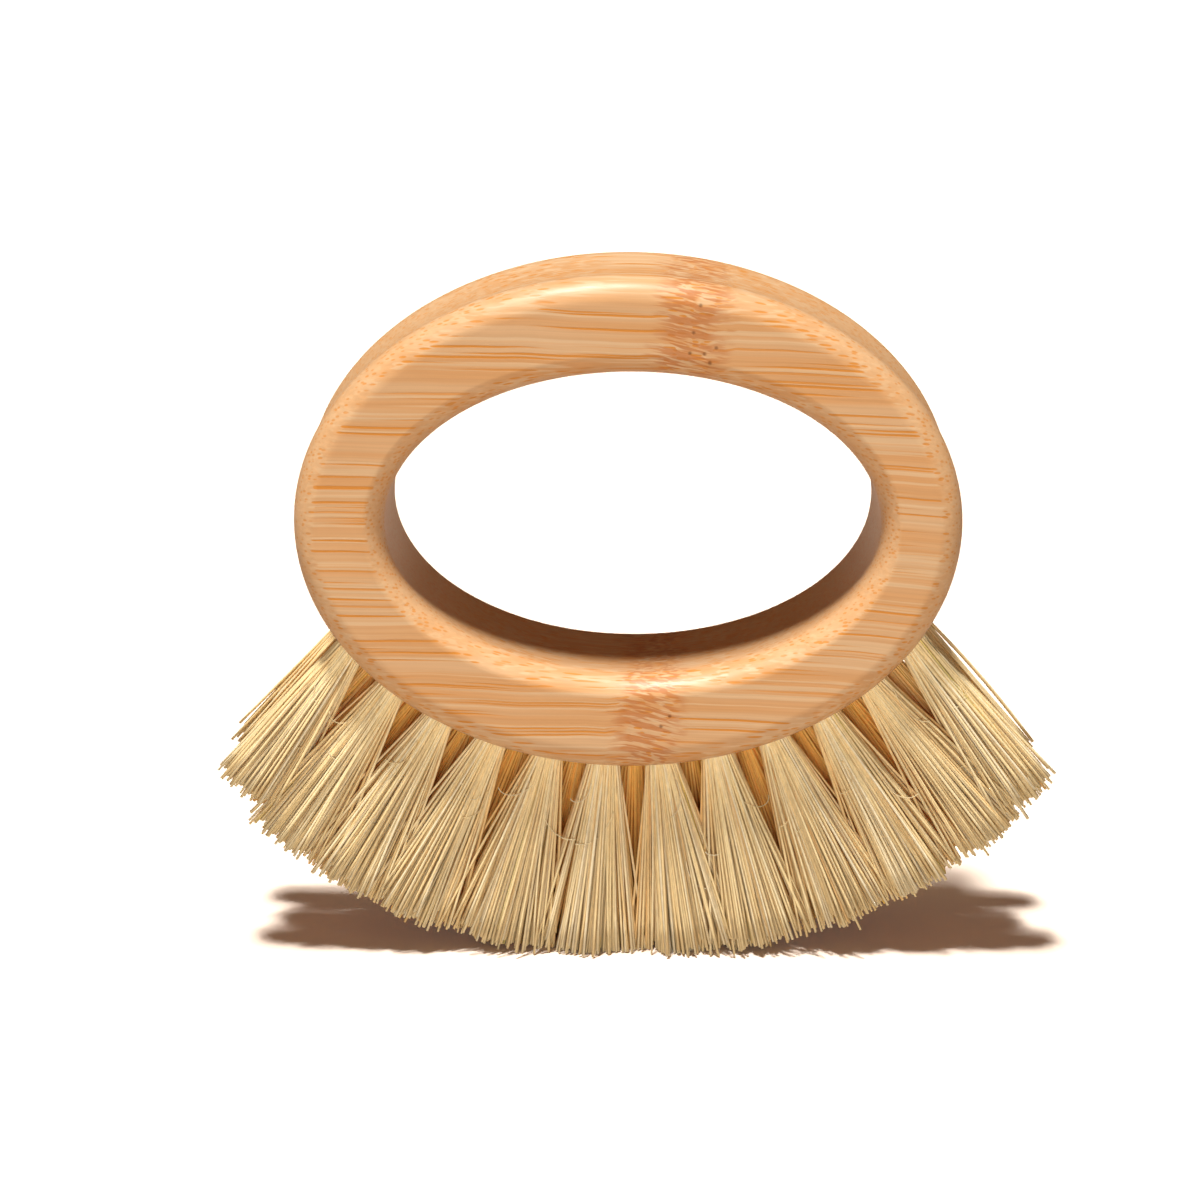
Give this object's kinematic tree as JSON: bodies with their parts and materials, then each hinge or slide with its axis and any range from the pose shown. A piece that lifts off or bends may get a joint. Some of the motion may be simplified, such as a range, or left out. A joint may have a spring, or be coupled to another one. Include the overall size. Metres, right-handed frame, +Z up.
{
  "type": "dish brush",
  "caption": "Upright oval bamboo ring with a finger hole, carrying a fan of plant-fibre tufts along its lower edge for washing up.",
  "frame": {"origin": "on the surface the brush stands on, under the middle of its width and of its thickness", "axes": "+X along the ring's long axis, +Y through the finger hole from the front face to the rear face, +Z up from the bristle tips to the top of the ring"},
  "size_m": [0.124, 0.03, 0.1045],
  "materials": {
    "bamboo": "satin clear coat over pale striped bamboo, with darker marks at the culm joint and fine end-grain dots on the rounded ends",
    "plant_fibre": "dry pale straw fibre with a soft sheen, slightly ragged cut tips"
  },
  "bodies": {
    "root": {"bamboo_ring": "bamboo", "tuft_front_01": "plant_fibre", "tuft_front_02": "plant_fibre", "tuft_front_03": "plant_fibre", "tuft_front_04": "plant_fibre", "tuft_front_05": "plant_fibre", "tuft_front_06": "plant_fibre", "tuft_front_07": "plant_fibre", "tuft_front_08": "plant_fibre", "tuft_front_09": "plant_fibre", "tuft_front_10": "plant_fibre", "tuft_front_11": "plant_fibre", "tuft_front_12": "plant_fibre", "tuft_middle_01": "plant_fibre", "tuft_middle_02": "plant_fibre", "tuft_middle_03": "plant_fibre", "tuft_middle_04": "plant_fibre", "tuft_middle_05": "plant_fibre", "tuft_middle_06": "plant_fibre", "tuft_middle_07": "plant_fibre", "tuft_middle_08": "plant_fibre", "tuft_middle_09": "plant_fibre", "tuft_middle_10": "plant_fibre", "tuft_middle_11": "plant_fibre", "tuft_rear_01": "plant_fibre", "tuft_rear_02": "plant_fibre", "tuft_rear_03": "plant_fibre", "tuft_rear_04": "plant_fibre", "tuft_rear_05": "plant_fibre", "tuft_rear_06": "plant_fibre", "tuft_rear_07": "plant_fibre", "tuft_rear_08": "plant_fibre", "tuft_rear_09": "plant_fibre", "tuft_rear_10": "plant_fibre", "tuft_rear_11": "plant_fibre", "tuft_rear_12": "plant_fibre"}
  },
  "joints": []
}
